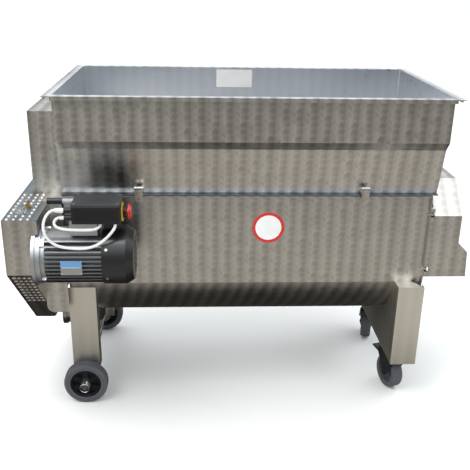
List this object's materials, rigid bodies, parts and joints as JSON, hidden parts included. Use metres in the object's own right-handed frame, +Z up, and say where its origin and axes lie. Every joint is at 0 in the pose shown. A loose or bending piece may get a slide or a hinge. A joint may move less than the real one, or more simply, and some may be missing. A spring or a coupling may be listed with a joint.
{
  "type": "grape crusher destemmer",
  "caption": "Wheeled grape crusher destemmer: steel hopper over a U trough with drum and beater, side motor, belt and chain drive casing, stem chute, emergency stop.",
  "frame": {"origin": "on the floor, under the middle of the machine's box (leads apart)", "axes": "+X along the machine towards the stem chute, +Y to the back, +Z up"},
  "size_m": [1.2295, 0.674, 0.9],
  "materials": {
    "swirled_steel": "circular-ground stainless sheet",
    "plain_steel": "plain stainless",
    "zinc": "bright zinc-plated or stainless hardware",
    "dark_iron": "dark machined iron",
    "gasket": "black rubber",
    "motor_grey": "cast aluminium, dull grey",
    "shield_alu": "bare die-cast aluminium",
    "black_plastic": "moulded, fine grain",
    "lid_plastic": "moulded dark grey",
    "white_plastic": "white lead sheath",
    "red_plastic": "moulded red",
    "yellow_plastic": "moulded yellow",
    "brass": "turned brass",
    "tyre_rubber": "dark grey solid rubber",
    "hub_plastic": "moulded nylon",
    "caster_black": "black coated pressed steel",
    "roller_rubber": "food-grade dark rubber"
  },
  "bodies": {
    "chassis": {"hopper_shell": "swirled_steel", "hopper_floor": "plain_steel", "joint_gasket": "gasket", "trough_shell": "swirled_steel", "trough_panels": "swirled_steel", "trough_end_left": "plain_steel", "trough_end_right": "plain_steel", "flange_bolts": "zinc", "clasp_brackets": "zinc", "stem_chute": "swirled_steel", "drive_frame": "swirled_steel", "drive_casing": "swirled_steel", "screw_cover": "swirled_steel", "casing_studs": "brass", "left_legs": "swirled_steel", "wheel_axle": "zinc", "linch_pins": "zinc", "right_stand": "swirled_steel", "caster_plates": "caster_black", "must_outlet": "plain_steel", "shaft_bearings": "dark_iron", "motor_body": "motor_grey", "motor_end_shield": "shield_alu", "motor_fan_cover": "black_plastic", "terminal_pedestal": "shield_alu", "switch_box": "black_plastic", "switch_lid": "lid_plastic", "small_screws": "zinc", "cable_glands": "black_plastic", "power_inlet": "black_plastic", "stop_collar": "yellow_plastic", "cable_loop": "white_plastic", "cable_short": "white_plastic", "drive_belt": "gasket", "drive_chains": "dark_iron"},
    "beater": {"beater_shaft": "plain_steel", "beater_drive_wheels": "dark_iron"},
    "drum_body": {"drum": "plain_steel", "drum_quill": "plain_steel"},
    "screw_body": {"feed_screw": "plain_steel", "screw_sprockets": "dark_iron"},
    "roller_front_body": {"roller_front": "roller_rubber"},
    "roller_rear_body": {"roller_rear": "roller_rubber"},
    "rotor_body": {"motor_rotor": "zinc", "motor_pulley": "dark_iron"},
    "wheel_front": {"tyre_front": "tyre_rubber", "hub_front": "hub_plastic"},
    "wheel_rear": {"tyre_rear": "tyre_rubber", "hub_rear": "hub_plastic"},
    "fork_front": {"caster_fork_front": "caster_black"},
    "caster_front": {"caster_wheel_front": "tyre_rubber"},
    "pedal_front": {"brake_pedal_front": "caster_black"},
    "fork_rear": {"caster_fork_rear": "caster_black"},
    "caster_rear": {"caster_wheel_rear": "tyre_rubber"},
    "pedal_rear": {"brake_pedal_rear": "caster_black"},
    "stop_head": {"stop_button": "red_plastic"},
    "clasp_left_plate": {"clasp_left": "swirled_steel"},
    "clasp_right_plate": {"clasp_right": "swirled_steel"},
    "knob": {"tension_knob": "zinc"}
  },
  "joints": [
    {"name": "beater_spin", "type": "hinge", "parent": "chassis", "child": "beater", "pos_m": [0.00525, 0.062, 0.416], "axis": [1, 0, 0], "continuous": true},
    {"name": "drum_spin", "type": "hinge", "parent": "chassis", "child": "drum_body", "pos_m": [0.00525, 0.062, 0.416], "axis": [1, 0, 0], "continuous": true},
    {"name": "screw_spin", "type": "hinge", "parent": "chassis", "child": "screw_body", "pos_m": [0.00525, 0.062, 0.668], "axis": [1, 0, 0], "continuous": true},
    {"name": "roller_front_spin", "type": "hinge", "parent": "chassis", "child": "roller_front_body", "pos_m": [-0.37475, 0.01, 0.558], "axis": [1, 0, 0], "continuous": true},
    {"name": "roller_rear_spin", "type": "hinge", "parent": "chassis", "child": "roller_rear_body", "pos_m": [-0.37475, 0.114, 0.558], "axis": [1, 0, 0], "continuous": true},
    {"name": "motor_spin", "type": "hinge", "parent": "chassis", "child": "rotor_body", "pos_m": [-0.44475, -0.259, 0.51], "axis": [1, 0, 0], "continuous": true},
    {"name": "wheel_front_spin", "type": "hinge", "parent": "chassis", "child": "wheel_front", "pos_m": [-0.46375, -0.1535, 0.0625], "axis": [0, 1, 0], "continuous": true},
    {"name": "wheel_rear_spin", "type": "hinge", "parent": "chassis", "child": "wheel_rear", "pos_m": [-0.46375, 0.2775, 0.0625], "axis": [0, 1, 0], "continuous": true},
    {"name": "caster_swivel_front", "type": "hinge", "parent": "chassis", "child": "fork_front", "pos_m": [0.45955, -0.126, 0.114], "axis": [0, 0, 1], "continuous": true},
    {"name": "caster_roll_front", "type": "hinge", "parent": "fork_front", "child": "caster_front", "pos_m": [0.44843, -0.09176, 0.05], "axis": [0.9511, 0.309, 0], "continuous": true},
    {"name": "brake_press_front", "type": "hinge", "parent": "fork_front", "child": "pedal_front", "pos_m": [0.43915, -0.06323, 0.107], "axis": [0.9511, 0.309, 0], "range_deg": [-14, 0], "stiffness_Nm_per_rad": 1.2},
    {"name": "caster_swivel_rear", "type": "hinge", "parent": "chassis", "child": "fork_rear", "pos_m": [0.45955, 0.25, 0.114], "axis": [0, 0, 1], "continuous": true},
    {"name": "caster_roll_rear", "type": "hinge", "parent": "fork_rear", "child": "caster_rear", "pos_m": [0.44843, 0.21576, 0.05], "axis": [-0.9511, 0.309, 0], "continuous": true},
    {"name": "brake_press_rear", "type": "hinge", "parent": "fork_rear", "child": "pedal_rear", "pos_m": [0.43915, 0.18723, 0.107], "axis": [-0.9511, 0.309, 0], "range_deg": [-14, 0], "stiffness_Nm_per_rad": 1.2},
    {"name": "stop_press", "type": "slide", "parent": "chassis", "child": "stop_head", "axis": [-1, 0, 0], "range_m": [0, 0.005], "stiffness_N_per_m": 400},
    {"name": "clasp_left_swing", "type": "hinge", "parent": "chassis", "child": "clasp_left_plate", "pos_m": [-0.29275, -0.164, 0.655], "axis": [-1, 0, 0], "range_deg": [0, 110]},
    {"name": "clasp_right_swing", "type": "hinge", "parent": "chassis", "child": "clasp_right_plate", "pos_m": [0.30525, -0.164, 0.655], "axis": [-1, 0, 0], "range_deg": [0, 110]},
    {"name": "tension_turn", "type": "hinge", "parent": "chassis", "child": "knob", "pos_m": [-0.57875, -0.245, 0.615], "axis": [0, 0, 1], "continuous": true}
  ],
  "couplings": [
    {"joint": "drum_spin", "follows": "beater_spin", "ratio": 0.13333},
    {"joint": "screw_spin", "follows": "beater_spin", "ratio": 0.33333},
    {"joint": "roller_front_spin", "follows": "beater_spin", "ratio": 0.22222},
    {"joint": "roller_rear_spin", "follows": "beater_spin", "ratio": -0.22222},
    {"joint": "motor_spin", "follows": "beater_spin", "ratio": 3.2}
  ]
}
